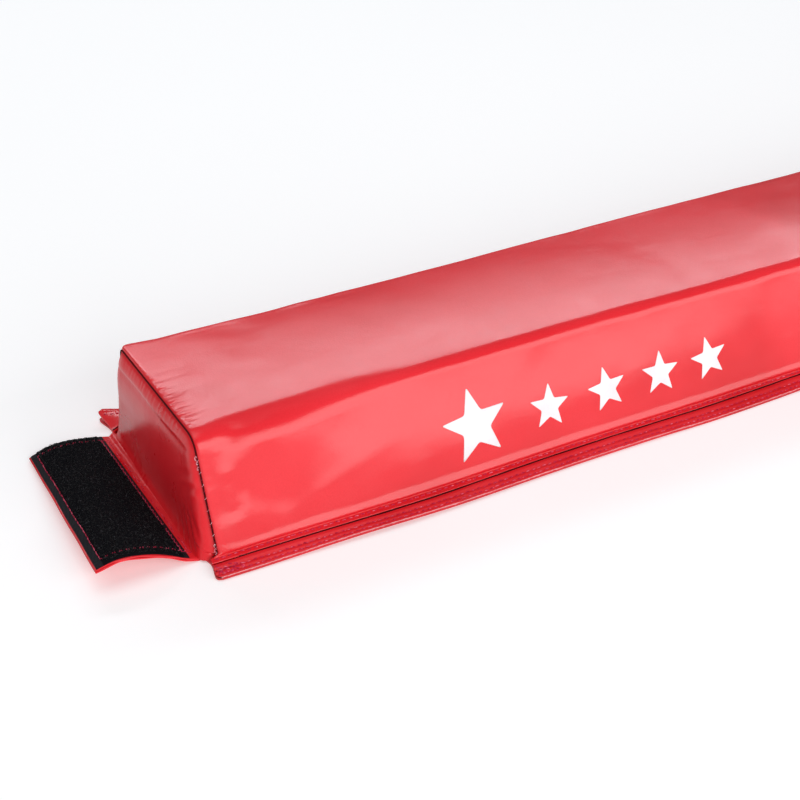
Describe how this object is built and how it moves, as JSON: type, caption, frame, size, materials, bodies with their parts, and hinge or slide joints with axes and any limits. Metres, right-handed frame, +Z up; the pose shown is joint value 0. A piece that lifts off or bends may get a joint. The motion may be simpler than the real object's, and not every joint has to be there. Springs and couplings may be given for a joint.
{
  "type": "folding floor balance beam",
  "caption": "Low padded floor balance beam that folds in half at a top hinge strip, with a zipped red vinyl cover, flat stitched flanges and a hook-and-loop end flap.",
  "frame": {"origin": "centre of the outline on the floor, under the middle of the whole beam with its end flap", "axes": "+X along the beam from the flap end to the hook-strip end, +Y across it away from the zippers, +Z up"},
  "size_m": [2.168, 0.17, 0.0658],
  "materials": {
    "red_vinyl": "satin",
    "base_vinyl": "matte",
    "foam": "matte",
    "zipper_tape": "matte",
    "zipper_coil": "satin",
    "zipper_metal": "satin",
    "hook_tape": "matte",
    "loop_tape": "matte"
  },
  "bodies": {
    "section_a": {"foam_core_a": "foam", "cover_wrap_a": "red_vinyl", "end_panel_a": "red_vinyl", "fold_panel_a": "red_vinyl", "base_sheet_a": "base_vinyl", "front_hem_a": "red_vinyl", "zipper_tapes_a": "zipper_tape", "zipper_coil_a": "zipper_coil", "zipper_stops_a": "zipper_metal", "hinge_strip_a": "red_vinyl"},
    "section_b": {"foam_core_b": "foam", "cover_wrap_b": "red_vinyl", "end_panel_b": "red_vinyl", "fold_panel_b": "red_vinyl", "base_sheet_b": "base_vinyl", "front_hem_b": "red_vinyl", "zipper_tapes_b": "zipper_tape", "zipper_coil_b": "zipper_coil", "zipper_stops_b": "zipper_metal", "hinge_strip_b": "red_vinyl", "hook_strip_b": "hook_tape"},
    "flap": {"flap_lower_ply": "red_vinyl", "flap_upper_ply": "red_vinyl", "loop_tape": "loop_tape"},
    "slider_a": {"zipper_slider_a": "zipper_metal"},
    "slider_b": {"zipper_slider_b": "zipper_metal"},
    "pull_a": {"zipper_pull_a": "zipper_metal"},
    "pull_b": {"zipper_pull_b": "zipper_metal"}
  },
  "joints": [
    {"name": "fold", "type": "hinge", "parent": "section_a", "child": "section_b", "pos_m": [0.028, 0, 0.0662], "axis": [0, -1, 0], "range_deg": [0, 179.8]},
    {"name": "flap_hinge", "type": "hinge", "parent": "section_a", "child": "flap", "pos_m": [-1.029, 0, 0.0006], "axis": [0, 1, 0], "range_deg": [-90, 65]},
    {"name": "zip_slide_a", "type": "slide", "parent": "section_a", "child": "slider_a", "axis": [-1, 0, 0], "range_m": [0, 0.99]},
    {"name": "zip_slide_b", "type": "slide", "parent": "section_b", "child": "slider_b", "axis": [1, 0, 0], "range_m": [0, 0.99]},
    {"name": "pull_swing_a", "type": "hinge", "parent": "slider_a", "child": "pull_a", "pos_m": [-0.011, -0.0743, 0.0053], "axis": [0, 1, 0], "range_deg": [0, 180]},
    {"name": "pull_swing_b", "type": "hinge", "parent": "slider_b", "child": "pull_b", "pos_m": [0.067, -0.0743, 0.0053], "axis": [0, -1, 0], "range_deg": [0, 180]}
  ]
}
